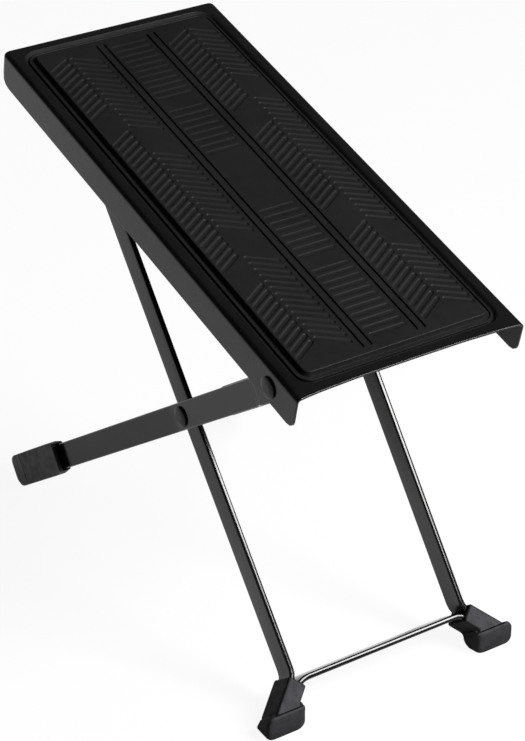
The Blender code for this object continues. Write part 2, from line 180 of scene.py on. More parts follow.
def makeEnamel(name, look, roughShift, ior, trayDull):
    finish, tree, shader = newFinish(name)
    spot = objectSpot(tree)
    cloud = spread(tree, noiseAt(tree, spot, look["cloudScale"]), *look["cloudSpan"])
    speck = noiseAt(tree, spot, look["dustScale"], look["fineDetail"])
    dust = spread(tree, speck, *look["dustSpan"], 0.0, look["dustShare"])
    mixed = blendColour(tree, cloud, look["dark"], look["pale"])
    tree.links.new(blendColour(tree, dust, mixed, look["dust"]), shader.inputs["Base Color"])
    rough = roughClouds(tree, spot, look, roughShift)
    if trayDull:
        rough = calculate(tree, "MULTIPLY_ADD", trayMask(tree, spot), trayDull, rough)
    tree.links.new(rough, shader.inputs["Roughness"])
    shader.inputs["IOR"].default_value = ior
    peel = addBump(tree, noiseAt(tree, spot, look["peelScale"], look["fineDetail"]),
                   look["peelDepth"], look["peelStrength"])
    grain = addBump(tree, speck, look["dustDepth"], look["dustStrength"], peel)
    tree.links.new(grain, shader.inputs["Normal"])
    return finish


# Moulded rubber of the tread mat
matLook = {
    "dark": (0.0058, 0.0058, 0.0061),
    "pale": (0.0092, 0.0092, 0.0095),
    "cloudScale": 24.0, "cloudDetail": 5.0, "cloudSpan": (0.34, 0.66),
    "paleSpecksAndPaintedLight": (0.035, 0.035, 0.037),
    "speckSpan": (0.6, 0.75), "speckShare": 0.18,
    "roughLow": 0.50, "roughHigh": 0.66, "roughScale": 160.0, "roughSpan": (0.3, 0.7),
    "gloss": 0.15,
    "waveScale": 120.0, "waveDetail": 2.0, "waveDepth": 0.0002, "waveStrength": 0.35,
    "grainScale": 2400.0, "grainDetail": 2.0, "grainDepth": 0.00005, "grainStrength": 0.7,
}

# Moulded rubber of boots and caps, with painted light (paler lit faces and painted highlights)
# where the mesh carries it
bootLook = {
    "dark": (0.0075, 0.0075, 0.0077),
    "pale": (0.0125, 0.0125, 0.0128),
    "cloudScale": 110.0, "cloudDetail": 5.0, "cloudSpan": (0.34, 0.66),
    "paleSpecksAndPaintedLight": (0.047, 0.047, 0.053),
    "patchScale": 260.0, "patchDetail": 6.0, "patchRough": 0.62,
    "patchSpan": (0.30, 0.62), "patchLeast": 0.45,
    "roughLow": 0.50, "roughHigh": 0.66, "roughScale": 240.0, "roughSpan": (0.3, 0.7),
    "bootGloss": 0.04, "capGloss": 0.42,
    "waveScale": 210.0, "waveDetail": 3.0, "waveDepth": 0.0003, "waveStrength": 0.4,
    "grainScale": 2600.0, "grainDetail": 2.0, "grainDepth": 0.00005, "grainStrength": 0.6,
}


def speckBloom(tree, spot, grain, look):  # pale specks on the tips of the grain
    return spread(tree, grain, *look["speckSpan"], 0.0, look["speckShare"])


def patchBloom(tree, spot, grain, look):  # painted light where the mesh carries it, broken into cloudy patches
    mask = addNode(tree, "ShaderNodeAttribute", {"attribute_name": "paleSpecksAndPaintedLight"}).outputs["Fac"]
    noise = noiseAt(tree, spot, look["patchScale"], look["patchDetail"], look["patchRough"])
    patch = spread(tree, noise, *look["patchSpan"], look["patchLeast"], 1.0)
    return calculate(tree, "MULTIPLY", mask, patch)


def makeRubber(name, look, gloss, specksAndPaintedLightMask):
    finish, tree, shader = newFinish(name)
    spot = objectSpot(tree)
    cloud = spread(tree, noiseAt(tree, spot, look["cloudScale"], look["cloudDetail"]),
                   *look["cloudSpan"])
    grain = noiseAt(tree, spot, look["grainScale"], look["grainDetail"])
    base = blendColour(tree, cloud, look["dark"], look["pale"])
    # pale specks on the mat, painted light on the boots and caps
    mask = specksAndPaintedLightMask(tree, spot, grain, look)
    tree.links.new(blendColour(tree, mask, base, look["paleSpecksAndPaintedLight"]), shader.inputs["Base Color"])
    tree.links.new(roughClouds(tree, spot, look), shader.inputs["Roughness"])
    shader.inputs["Specular IOR Level"].default_value = gloss
    wave = addBump(tree, noiseAt(tree, spot, look["waveScale"], look["waveDetail"]),
                   look["waveDepth"], look["waveStrength"])
    skin = addBump(tree, grain, look["grainDepth"], look["grainStrength"], wave)
    tree.links.new(skin, shader.inputs["Normal"])
    return finish


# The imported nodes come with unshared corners: join them and shade across gentle edges only
shading = {
    "joinWithin": 0.000002,
    "sharpDegrees": 50,
    "cutRound": 0.0005, "cutSteps": 3, "cutDegrees": 60,  # paint softens the sheet's cut edge
    "weight": 90,
}


def makeShading(name):
    group = bpy.data.node_groups.new(name, "GeometryNodeTree")
    for way in ("INPUT", "OUTPUT"):
        group.interface.new_socket("Geometry", in_out=way, socket_type="NodeSocketGeometry")
    start = addNode(group, "NodeGroupInput")
    merge = addNode(group, "GeometryNodeMergeByDistance", i0=start.outputs[0],
                    Distance=shading["joinWithin"])
    angle = addNode(group, "GeometryNodeInputMeshEdgeAngle")
    sharp = addNode(group, "FunctionNodeCompare",
                    {"data_type": "FLOAT", "operation": "GREATER_THAN"},
                    i0=angle.outputs[0], i1=math.radians(shading["sharpDegrees"]))
    shade = addNode(group, "GeometryNodeSetMeshNormal", {"mode": "SHARPNESS"},
                    Mesh=merge.outputs[0])
    shade.inputs["Remove Custom"].default_value = True
    shade.inputs["Face Sharpness"].default_value = False
    group.links.new(sharp.outputs[0], shade.inputs["Edge Sharpness"])
    addNode(group, "NodeGroupOutput", i0=shade.outputs[0])
    return group


def evenShade(piece, weight):  # keeps flat faces flat beside rounded edges
    weighted = piece.modifiers.new("weighted", "WEIGHTED_NORMAL")
    weighted.keep_sharp = True
    weighted.weight = weight


def softShade(piece, group, roundCuts):
    joined = piece.modifiers.new("joined", "NODES")
    joined.node_group = group
    if roundCuts:
        cuts = piece.modifiers.new("cuts", "BEVEL")
        cuts.width, cuts.segments = shading["cutRound"], shading["cutSteps"]
        cuts.limit_method, cuts.angle_limit = "ANGLE", math.radians(shading["cutDegrees"])
    evenShade(piece, shading["weight"])


# Each coat: the nodes that wear it, how much duller than the bars, its IOR, the tray's dullness
coats = {
    "blackEnamel": (("rack_left", "rack_right", "front_leg_frame", "rear_leg_left",
                     "rear_leg_right"), 0.0, 1.36, 0.0),
    "plateEnamel": (("footplate",), 0.10, 1.36, 0.5),
    "rivetEnamel": (("pivot_rivet_left", "pivot_rivet_right", "cross_rivet_left",
                     "cross_rivet_right"), 0.06, 1.29, 0.0),
    "rodEnamel": (("lock_rod",), -0.05, 1.36, 0.0),
}
steelShading = makeShading("steelShading")
for coatName, (wearers, duller, ior, trayDull) in coats.items():
    coat = makeEnamel(coatName, enamelLook, duller, ior, trayDull)
    for name in wearers:
        nodes[name].material_slots[0].material = coat
        softShade(nodes[name], steelShading, name == "footplate")
print("enamel on the steel")


def facesOut(shape):
    bmesh.ops.recalc_face_normals(shape, faces=shape.faces[:])


def newMesh(name, shape):
    facesOut(shape)
    mesh = bpy.data.meshes.new(name)
    shape.to_mesh(mesh)
    shape.free()
    return mesh


def newObject(name, data):
    piece = bpy.data.objects.new(name, data)
    bpy.context.scene.collection.objects.link(piece)
    return piece


def dressPiece(piece, finish, body, replaced, sharpDegrees):
    mesh = piece.data
    mesh.polygons.foreach_set("use_smooth", [True] * len(mesh.polygons))
    mesh.set_sharp_from_angle(angle=math.radians(sharpDegrees))
    wear(piece, finish)
    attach(piece, body)
    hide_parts(replaced)


def applyModifiers(piece):
    bpy.context.view_layer.update()
    evaluated = piece.evaluated_get(bpy.context.evaluated_depsgraph_get())
    finished = bpy.data.meshes.new_from_object(evaluated)
    piece.modifiers.clear()
    spent = piece.data
    piece.data = finished
    bpy.data.meshes.remove(spent)


def cutAway(piece, name, shape):
    tool = newObject(name, newMesh(name, shape))
    change = piece.modifiers.new("change", "BOOLEAN")
    change.operation = "DIFFERENCE"
    change.solver = "EXACT"
    change.object = tool
    applyModifiers(piece)
    bpy.data.objects.remove(tool)


def paintBloom(piece, strength):  # strength gives the painted light at a corner of the mesh
    layer = piece.data.attributes.new("paleSpecksAndPaintedLight", "FLOAT", "POINT")
    layer.data.foreach_set("value", [strength(corner) for corner in piece.data.vertices])


def skirt(shape, first, second):  # faces between two closed loops of corners
    for i in range(len(first)):
        j = (i + 1) % len(first)
        shape.faces.new((first[i], first[j], second[j], second[i]))


def loft(rings, shape=None):
    shape = shape or bmesh.new()
    loops = [[shape.verts.new(spot) for spot in ring] for ring in rings]
    for lower, upper in zip(loops, loops[1:]):
        skirt(shape, lower, upper)
    shape.faces.new(list(reversed(loops[0])))
    shape.faces.new(loops[-1])
    return shape


def roundedBox(low, high, bottom, top, radii, steps):  # a box section as a loop of pairs
    corners = ((high, top, -1, -1), (low, top, 1, -1), (low, bottom, 1, 1), (high, bottom, -1, 1))
    loop = []
    for quarter, ((x, y, inX, inY), radius) in enumerate(zip(corners, radii)):
        for i in range(steps + 1):
            angle = math.radians(90 * quarter + 90 * i / steps)
            loop.append((x + inX * radius + radius * math.cos(angle),
                         y + inY * radius + radius * math.sin(angle)))
    return loop


def bevelEdges(shape, edges, width, segments, clamp=False):
    bmesh.ops.bevel(shape, geom=edges, offset=width, segments=segments, profile=0.5,
                    affect="EDGES", clamp_overlap=clamp)


def trimBelow(shape, spot, up):
    everything = shape.verts[:] + shape.edges[:] + shape.faces[:]
    cut = bmesh.ops.bisect_plane(shape, geom=everything, dist=1e-7, plane_co=spot, plane_no=up,
                                 clear_inner=True)
    rim = [part for part in cut["geom_cut"] if isinstance(part, bmesh.types.BMEdge)]
    bmesh.ops.edgenet_fill(shape, edges=rim)


# Tread mat: a lipped border, a moat inside it and a field cut by grooves and short slots
tread = {
    "low": 0.0087, "high": 0.2770, "side": 0.0539, "corner": 0.0072,  # edge of the mat
    "base": -0.0017,
    "border": 0.0010, "borderWidth": 0.0032, "ease": 0.0003,
    "lip": 0.0009, "lipEase": 0.0002,
    "moat": (0.0013, 0.0027, 0.0003),  # from and to, inward, and its floor above the base
    "top": 0.0029, "shoulder": 0.0005,
    "grooveLines": (0.0126, 0.0170), "grooveInset": 0.004,
    "grooveWidth": 0.0013, "grooveDepth": 0.0008, "grooveEdge": 0.00025,
    "slotWidth": 0.0016, "slotPitch": 0.0047, "slotDepth": 0.0006, "slotEdge": 0.0008,
    "slotProfile": ((1, 0), (0.75, 0.12), (0.5, 0.38), (0.25, 0.72), (0, 0.94)),
    "slotFloor": -0.0002,  # its floor ends this far inside the slot's width
    # across from and to, the runs along the mat, and how far a slot slants
    "bands": (((0.0204, 0.0335), ((0.020, 0.094), (0.104, 0.182), (0.192, 0.266)), 0.62),
              ((0.0371, 0.0480), ((0.020, 0.074), (0.084, 0.202), (0.212, 0.266)), -0.62)),
    "barBand": (-0.0092, 0.0092), "barPitch": 0.0047, "barDepth": 0.0003,
    "barRuns": ((0.022, 0.070), (0.082, 0.118), (0.168, 0.204), (0.216, 0.264)),
    "sharpDegrees": 38, "weight": 100,
}


def slotLoop(start, end, width, grow):  # a rounded slot between two spots
    start, end = Vector(start), Vector(end)
    ahead = (end - start).normalized()
    aside = Vector((-ahead.y, ahead.x))
    half = width / 2 + grow
    loop = []
    for spot, sign in ((end, 1), (start, -1)):
        for degrees in (-90, -45, 0, 45, 90):
            angle = math.radians(degrees)
            arm = ahead * math.cos(angle) + aside * math.sin(angle)
            loop.append(tuple(spot + arm * half * sign))
    return loop


def treadSlots():  # start, end, width, depth and edge of every hollow in the mat
    slots = []
    grow = tread["borderWidth"] + 2 * tread["shoulder"] + tread["grooveInset"]
    low, high = tread["low"] + grow, tread["high"] - grow
    groove = (tread["grooveWidth"], tread["grooveDepth"], tread["grooveEdge"])
    slot = (tread["slotWidth"], tread["slotDepth"], tread["slotEdge"])
    bar = (tread["slotWidth"], tread["barDepth"], tread["slotEdge"])
    pitch = tread["slotPitch"]
    for hand in (-1, 1):
        for line in tread["grooveLines"]:
            slots.append(((low, hand * line), (high, hand * line), *groove))
        for (inner, outer), runs, slant in tread["bands"]:
            lean = (outer - inner) * slant
            for runLow, runHigh in runs:
                count = int((runHigh - runLow - abs(lean)) / pitch)
                first = (runLow + runHigh - abs(lean) - (count - 1) * pitch) / 2
                for i in range(count):
                    along = first + i * pitch + max(0, -lean)
                    slots.append(((along, hand * inner), (along + lean, hand * outer), *slot))
    barLow, barHigh = tread["barBand"]
    for runLow, runHigh in tread["barRuns"]:
        count = int((runHigh - runLow) / tread["barPitch"])
        for i in range(count + 1):
            along = runLow + (runHigh - runLow) * i / count
            slots.append(((along, barLow), (along, barHigh), *bar))
    return slots


def treadProfile(top):  # inset and level from the mat's foot to the edge of its field
    base, border = tread["base"], tread["base"] + tread["border"]
    width, ease, shoulder = tread["borderWidth"], tread["ease"], tread["shoulder"]
    lip, lipEase = tread["lip"], tread["lipEase"]
    moatLow, moatHigh, moatFloor = tread["moat"]
    profile = [(0.0, base), (0.0, border - ease), (0.3 * ease, border - 0.3 * ease),
               (ease, border), (lip, border), (lip + lipEase, border - lipEase),
               (moatLow, base + moatFloor), (moatHigh, base + moatFloor),
               (width, border), (width + ease, top - shoulder)]
    for degrees in (30, 60, 90):
        angle = math.radians(degrees)
        profile.append((width + ease + shoulder * (1 - math.cos(angle)),
                        top - shoulder + shoulder * math.sin(angle)))
    return profile


def buildTread():
    shape = bmesh.new()
    top = tread["base"] + tread["top"]
    rings = []
    for inset, level in treadProfile(top):
        low, high, side = tread["low"] + inset, tread["high"] - inset, tread["side"] - inset
        loop = roundedBox(low, high, -side, side, [tread["corner"] - inset] * 4, 8)
        rings.append((loop, [shape.verts.new(plateSpot(u, v, level)) for u, v in loop]))
    for (_, lower), (_, upper) in zip(rings, rings[1:]):
        skirt(shape, lower, upper)
    shape.faces.new(list(reversed(rings[0][1])))

    flat = [Vector(spot) for spot in rings[-1][0]]
    corners = list(rings[-1][1])
    edges = [(i, (i + 1) % len(flat)) for i in range(len(flat))]
    owner = [-1] * len(flat)  # which hollow each corner of the flat top belongs to
    for number, (start, end, width, depth, edge) in enumerate(treadSlots()):
        levels = [(edge * share, top - depth * drop) for share, drop in tread["slotProfile"]]
        levels.append((tread["slotFloor"], top - depth))
        loops = [[shape.verts.new(plateSpot(u, v, level))
                  for u, v in slotLoop(start, end, width, grow)] for grow, level in levels]
        for upper, lower in zip(loops, loops[1:]):
            skirt(shape, upper, lower)
        shape.faces.new(loops[-1])
        first, count = len(flat), len(loops[0])
        flat += [Vector(spot) for spot in slotLoop(start, end, width, edge)]
        corners += loops[0]
        owner += [number] * count
        edges += [(first + i, first + (i + 1) % count) for i in range(count)]
    _, _, faces, sources, _, _ = geometry.delaunay_2d_cdt(flat, edges, [], 1, 1e-7, True)
    for face in faces:
        picked = [sources[i][0] for i in face]
        owners = {owner[i] for i in picked}
        if len(owners) > 1 or owners == {-1}:
            shape.faces.new([corners[i] for i in picked])
    piece = newObject("treadMat", newMesh("treadMat", shape))
    dressPiece(piece, makeRubber("matRubber", matLook, matLook["gloss"], speckBloom), "plate",
               "rubber_pad", tread["sharpDegrees"])
    evenShade(piece, tread["weight"])
    return piece


treadMat = buildTread()
print("tread mat", len(treadMat.data.polygons), "faces")

# Front boots: a slanted sleeve over the ear, running into a toe block on the floor
boot = {
    "crossbar": 0.1400, "spread": 0.0509,  # where the cross bar and the bar run inside
    "sleeve": ((-0.0037, 0.0031), (0.0114, 0.0172), (0.0130, 0.0172), (0.0130, 0.0030),
               (0.0101, 0.0024), (0.0035, -0.0036)),
    "sleeveDepth": (-0.0096, 0.0093), "edge": 0.0011, "edgeSteps": 3,
    "flare": ((0.0085, 0.0032), (0.0105, 0.0008), (0.0143, 0.0006), (0.0143, 0.0070),
              (0.0085, 0.0070)),
    "flareDepth": (-0.0060, 0.0076),
    "toeInner": 0.0005, "toeOuter": 0.0228, "toeRear": 0.1222, "toeFront": 0.1339,
    "toeRings": (0.0, 0.06, 0.16, 0.3, 0.45, 0.6, 0.75, 0.88, 0.96),
    "frontRings": (0, 15, 30, 45, 60, 75, 88), "frontRound": 0.0021, "frontLift": 0.8,
    "heelFrom": 0.1204, "heel": 0.0063, "below": 0.0006,
    "rearLine": (0.1254, 0.00754, 0.8322),  # ahead, height and climb of the block's rear face
    "bead": (0.13255, 0.01194, 0.0014),  # ahead, height and radius along the top of the toe
    # outer top, inner top, inner bottom and outer bottom, and the most of the section's height
    "corners": (0.0040, 0.0016, 0.0012, 0.0036), "cornerMost": 0.46,
    "curl": (0.1262, 0.0032, 1.4),  # inner bottom edge: rounder from here, by this, and slimmer
    "chamfer": ((0.0113, 0.0198), (0.0151, 0.0228)),
    "voxel": 0.0004, "smoothing": 4, "relax": 0.5,
    "earAngle": 43.3, "earReach": 0.0145, "earSpacing": 0.0038, "earShoulder": 0.0026,
    "earBend": 0.0105, "tipBend": 0.0018,
    "cover": 0.0018, "barHalf": 0.0074, "mouthReach": 0.022, "mouthGape": 0.0001,
    "groove": ((-0.00045, 0.0105), (0.00045, 0.0105), (0.0001, 0.0081), (-0.0001, 0.0081)),
    "grooveAt": 0.0118, "grooveSpan": (0.0000, 0.0180),
    "soleGrooves": (0.1215, 0.1255, 0.1295), "soleGrooveSpan": (-0.004, 0.026),
    "soleSection": ((-0.0006, -0.001), (0.0006, -0.001), (0.00036, 0.0007), (-0.00036, 0.0007)),
    "sharpDegrees": 42,
}

# Painted light on the boots' rubber: paler on the slope behind the groove where it faces the
# light, paler up the toe's front, and a painted highlight along its bead
bootPaintedLight = {
    "slopeFacing": (0.86, 1.0), "slopeStrength": 1.4,
    "frontFacing": (0.8, 1.0), "frontHeight": 0.0125, "frontLow": 0.25, "frontGain": 0.35,
    "beadHeight": (0.0116, 0.0126), "beadStrength": 1.2,
}
barWay = frontSpot(1, 0, 0) - frontSpot(0, 0, 0)
slopeWay = frontSpot(0, 0, 1) - frontSpot(0, 0, 0)
grooveLine = barWay.dot(frontSpot(boot["crossbar"] + boot["grooveAt"], 0, 0))


def bentLine(points, radii):  # a line with rounded corners, as pairs of spot and heading
    line = [(points[0], (points[1] - points[0]).normalized())]
    for before, corner, after, radius in zip(points, points[1:], points[2:], radii):
        arriving, leaving = (corner - before).normalized(), (after - corner).normalized()
        turn = arriving.angle_signed(leaving)
        side = Vector((-arriving.y, arriving.x)) * (1 if turn < 0 else -1)
        centre = corner - arriving * radius * math.tan(abs(turn) / 2) + side * radius
        steps = max(3, math.ceil(math.degrees(abs(turn)) / 10))
        for i in range(steps + 1):
            bend = Matrix.Rotation(-turn * i / steps, 2)
            line.append((centre + bend @ (-side * radius), bend @ arriving))
    line.append((points[-1], (points[-1] - points[-2]).normalized()))
    return line


def earPocket(hand):  # hollow that the hairpin ear and both bars lie in
    turn = math.radians(boot["earAngle"])
    out = Vector((math.cos(turn), math.sin(turn)))
    down = Vector((math.sin(turn), -math.cos(turn)))
    cover, bar, cross = boot["cover"], boot["spread"], boot["crossbar"]
    root = Vector((cross - boot["earShoulder"], bar))
    upper = root + out * boot["earReach"]
    lower = upper + down * boot["earSpacing"]
    back = lower - out * ((lower.x - cross) / out.x)
    begin = Vector((root.x - boot["mouthReach"], bar + boot["mouthGape"]))
    end = Vector((cross, bar - boot["mouthReach"]))
    middle = bentLine([begin, root, upper, lower, back, end],
                      [boot["earBend"], boot["tipBend"], boot["tipBend"], boot["earBend"]])
    line = [spot + Vector((-heading.y, heading.x)) * cover for spot, heading in middle]
    line += [Vector((cross - cover, end.y)), Vector((cross - cover, bar - cover)),
             Vector((begin.x, bar - cover))]
    return loft([[frontSpot(spot.x, hand * spot.y, z) for spot in line]
                 for z in (-boot["barHalf"], boot["barHalf"])])


def toeRing(x, inset, hand):  # section of the toe block across the footrest
    curlFrom, curl, curlWide = boot["curl"]
    low = boot["spread"] + boot["toeInner"] + inset * curlWide
    high = boot["spread"] + boot["toeOuter"] - inset
    ahead, height, climb = boot["rearLine"]
    top = height + climb * (x - ahead)
    beadX, beadZ, beadRadius = boot["bead"]
    if x > beadX:
        top = beadZ + math.sqrt(max(0.0, beadRadius ** 2 - (x - beadX) ** 2))
    heel = max(0.0, boot["heelFrom"] + boot["heel"] - x)
    bottom = boot["heel"] - math.sqrt(max(0.0, boot["heel"] ** 2 - heel ** 2))
    bottom += inset * boot["frontLift"] - boot["below"]
    radii = list(boot["corners"])
    radii[2] += curl * ramp(x, curlFrom, boot["toeFront"])
    radii = [min(radius, (top - bottom) * boot["cornerMost"]) for radius in radii]
    return [Vector((x, hand * y, z)) for y, z in roundedBox(low, high, bottom, top, radii, 6)]


def toeBlock(hand):
    rear, front, rounding = boot["toeRear"], boot["toeFront"], boot["frontRound"]
    rings = [toeRing(rear + share * (front - rear - rounding), 0, hand)
             for share in boot["toeRings"]]
    for degrees in boot["frontRings"]:
        angle = math.radians(degrees)
        rings.append(toeRing(front - rounding * (1 - math.sin(angle)),
                             rounding * (1 - math.cos(angle)), hand))
    block = loft(rings)
    (firstX, firstY), (lastX, lastY) = boot["chamfer"]
    spot = frontSpot(boot["crossbar"] + firstX, hand * (boot["spread"] + firstY), 0)
    keep = frontSpot(lastY - firstY, -hand * (lastX - firstX), 0) - frontSpot(0, 0, 0)
    trimBelow(block, spot, keep.normalized())
    return newMesh("toeBlock", block)


def bootSlab(outline, depths, hand, shape=None):  # an outline round the ear, between two depths
    ahead, across = boot["crossbar"], boot["spread"]
    return loft([[frontSpot(ahead + x, hand * (across + y), z) for x, y in outline]
                 for z in depths], shape)


def bootGrooves(hand):  # three across the sole and the one between sleeve and toe
    across, grooves = boot["spread"], bmesh.new()
    for ahead in boot["soleGrooves"]:
        loft([[Vector((ahead + x, hand * (across + y), z)) for x, z in boot["soleSection"]]
              for y in boot["soleGrooveSpan"]], grooves)
    start = boot["crossbar"] + boot["grooveAt"]
    return loft([[frontSpot(start + x, hand * (across + y), z) for x, z in boot["groove"]]
                 for y in boot["grooveSpan"]], grooves)


# Painted light per corner of a boot: the lit slope, the toe's front paler toward its top, a
# painted highlight on the bead
def bloomOnBoot(corner):
    if barWay.dot(corner.co) < grooveLine:
        turned = ramp(corner.normal.dot(slopeWay), *bootPaintedLight["slopeFacing"])
        return min(1.0, turned * bootPaintedLight["slopeStrength"])
    height = min(1.0, corner.co.z / bootPaintedLight["frontHeight"])
    front = (bootPaintedLight["frontLow"] + bootPaintedLight["frontGain"] * height) * ramp(
        corner.normal.x, *bootPaintedLight["frontFacing"])
    bead = ramp(corner.co.z, *bootPaintedLight["beadHeight"]) * max(0.0, corner.normal.x)
    return max(front, bootPaintedLight["beadStrength"] * bead)


def buildBoot(sideName, hand):
    body = bootSlab(boot["sleeve"], boot["sleeveDepth"], hand)
    facesOut(body)
    bevelEdges(body, body.edges[:], boot["edge"], boot["edgeSteps"])
    bootSlab(boot["flare"], boot["flareDepth"], hand, body)
    body.from_mesh(toeBlock(hand))  # the remesh below melts the shells into one
    piece = newObject("frontBoot_" + sideName, newMesh("frontBoot_" + sideName, body))
    cells = piece.modifiers.new("cells", "REMESH")
    cells.mode, cells.voxel_size = "VOXEL", boot["voxel"]
    relax = piece.modifiers.new("relax", "SMOOTH")
    relax.factor, relax.iterations = boot["relax"], boot["smoothing"]
    applyModifiers(piece)
    shape = bmesh.new()
    shape.from_mesh(piece.data)
    trimBelow(shape, floorSpot, upward)
    facesOut(shape)
    shape.to_mesh(piece.data)
    shape.free()
    cutAway(piece, "earPocket", earPocket(hand))
    cutAway(piece, "grooves", bootGrooves(hand))
    paintBloom(piece, bloomOnBoot)
    dressPiece(piece, bootRubber, "front_frame", "front_foot_" + sideName, boot["sharpDegrees"])
    return piece


bootRubber = makeRubber("bootRubber", bootLook, bootLook["bootGloss"], patchBloom)
for sideName, hand in sides:
    made = buildBoot(sideName, hand)
    print("front boot", len(made.data.polygons), "faces")

# Rear caps: long sleeves that narrow toward the nose and gape a little at the mouth
cap = {
    "end": -0.20665, "mouth": -0.1345, "spread": 0.0690,
    "halfWidth": 0.00445, "noseHalfWidth": 0.00255, "taper": 0.0190,
    "halfHeight": 0.00915, "mouthTop": 0.00830, "mouthBottom": 0.00805, "shoulder": 0.012,
    "edge": 0.0015, "edgeMost": (0.9, 0.45),  # of the half width and of the height
    "slant": 0.0050, "slantReach": 0.02,
    "nose": 0.0054, "noseSteps": 9, "noseThin": 0.0007, "noseBelow": 0.004, "tipGap": 0.0001,
    "sleeveSteps": 90,
    "moulding": (0.0198, 0.0010, 0.00030),  # line round the nose: from the end, half width, depth
    # back from the mouth, in from the sides and in from top and bottom, round the lip
    "lip": ((0.0009, 0.0, 0.0), (0.0005, 0.00008, 0.00004), (0.0002, 0.0003, 0.00015),
            (0.0, 0.0006, 0.0003)),
    "mouthInner": 0.0034, "mouthOuter": 0.0020, "mouthTall": 0.0077, "pocketEdge": 0.0011,
    # back from the mouth, and how far the pocket has closed on the bar
    "pocket": ((0.0001, 0.0), (0.0008, 0.05), (0.005, 0.35), (0.009, 0.75), (0.0105, 1.0)),
    "barAtMouth": 0.0013, "barHalfThick": 0.0019, "barHalfWide": 0.0074, "barGap": 0.0002,
    "footRound": 0.0013, "footSteps": 4,
    # painted light on the caps: a paler level on the flat sides, fading to painted shade on the
    # rounded edges
    "lightFacing": (0.5, 0.9), "lightLevel": 0.36,
    # along, up, reach and strength of the painted highlights
    "highlightSpots": ((-0.1745, 0.0005, 0.0060, 1.40), (-0.1515, 0.0030, 0.0070, 0.80),
                   (-0.1365, 0.0, 0.0035, 0.60), (-0.1980, 0.0, 0.0050, 0.70)),
    "sharpDegrees": 42,
}


def capRing(x, middle, halfWide, low, high, radius, hand):
    mostWide, mostTall = cap["edgeMost"]
    radius = min(radius, halfWide * mostWide, (high - low) * mostTall)
    slant = cap["slant"] * max(0.0, 1 - (cap["mouth"] - x) / cap["slantReach"])
    ring = []
    for across, up in roundedBox(-halfWide, halfWide, low, high, [radius] * 4, 5):
        inward = slant * (1 - (middle - cap["spread"] + across) / cap["halfWidth"]) / 2
        ring.append(rearSpot(x - inward, hand * (middle + across), up))
    return ring


def capSize(x):  # half width, bottom and top of the sleeve at a place along the leg
    slim = max(0.0, 1 - (x - cap["end"]) / cap["taper"])
    wide = cap["halfWidth"] + slim * (cap["noseHalfWidth"] - cap["halfWidth"])
    place, half, deep = cap["moulding"]
    away = abs(x - cap["end"] - place) / half
    wide -= deep * max(0.0, 1 - away * away)
    share = min(1.0, (cap["mouth"] - x) / cap["shoulder"])
    share = share * share * (3 - 2 * share)
    top = cap["mouthTop"] + share * (cap["halfHeight"] - cap["mouthTop"])
    bottom = cap["mouthBottom"] + share * (cap["halfHeight"] - cap["mouthBottom"])
    return wide, -bottom, top


def capRings(hand):  # from the nose along the sleeve, round the lip and into the pocket
    end, mouth, nose, middle = cap["end"], cap["mouth"], cap["nose"], cap["spread"]
    rings = []
    for i in range(cap["noseSteps"] + 1):
        angle = math.radians(90 * i / cap["noseSteps"])
        x = end + nose * (1 - math.cos(angle)) + cap["tipGap"]
        wide, bottom, top = capSize(x)
        wide -= cap["noseThin"] * (1 - math.sin(angle)) ** 2
        rings.append(capRing(x, middle, wide, bottom - cap["noseBelow"],
                             top - nose * (1 - math.sin(angle)), cap["edge"], hand))
    length = mouth - end - nose
    for i in range(1, cap["sleeveSteps"]):
        x = end + nose + i / cap["sleeveSteps"] * length
        rings.append(capRing(x, middle, *capSize(x), cap["edge"], hand))
    wide, bottom, top = capSize(mouth)
    for back, beside, above in cap["lip"]:
        rings.append(capRing(mouth - back, middle, wide - beside, bottom + above, top - above,
                             cap["edge"], hand))
    inner, outer, barHalf = cap["mouthInner"], cap["mouthOuter"], cap["barHalfThick"]
    for back, share in cap["pocket"]:
        low = -inner + share * (inner - cap["barAtMouth"] - barHalf + cap["barGap"])
        high = outer + share * (barHalf - outer)
        tall = cap["mouthTall"] + share * (cap["barHalfWide"] - cap["mouthTall"])
        rings.append(capRing(mouth - back, middle + (low + high) / 2, (high - low) / 2,
                             -tall, tall, cap["pocketEdge"], hand))
    return rings


# Painted light per corner of a cap: a paler level and painted highlight spots on the flat sides
# only, so the rounded edges read as painted shade
def bloomOnCap(corner):
    value = cap["lightLevel"]
    for x, z, reach, level in cap["highlightSpots"]:
        away = corner.co - rearSpot(x, corner.co.y, z)
        value += level * math.exp(-away.length_squared / reach ** 2)
    return value * ramp(abs(corner.normal.y), *cap["lightFacing"])


def buildCap(sideName, hand):
    shape = loft(capRings(hand))
    trimBelow(shape, floorSpot, upward)
    rim = [edge for edge in shape.edges if all(abs(end.co.z) < 1e-6 for end in edge.verts)]
    bevelEdges(shape, rim, cap["footRound"], cap["footSteps"], clamp=True)
    piece = newObject("rearCap_" + sideName, newMesh("rearCap_" + sideName, shape))
    paintBloom(piece, bloomOnCap)
    dressPiece(piece, capRubber, "rear_legs", "rear_cap_" + sideName, cap["sharpDegrees"])


capRubber = makeRubber("capRubber", bootLook, bootLook["capGloss"], patchBloom)
for sideName, hand in sides:
    buildCap(sideName, hand)
print("rear caps")

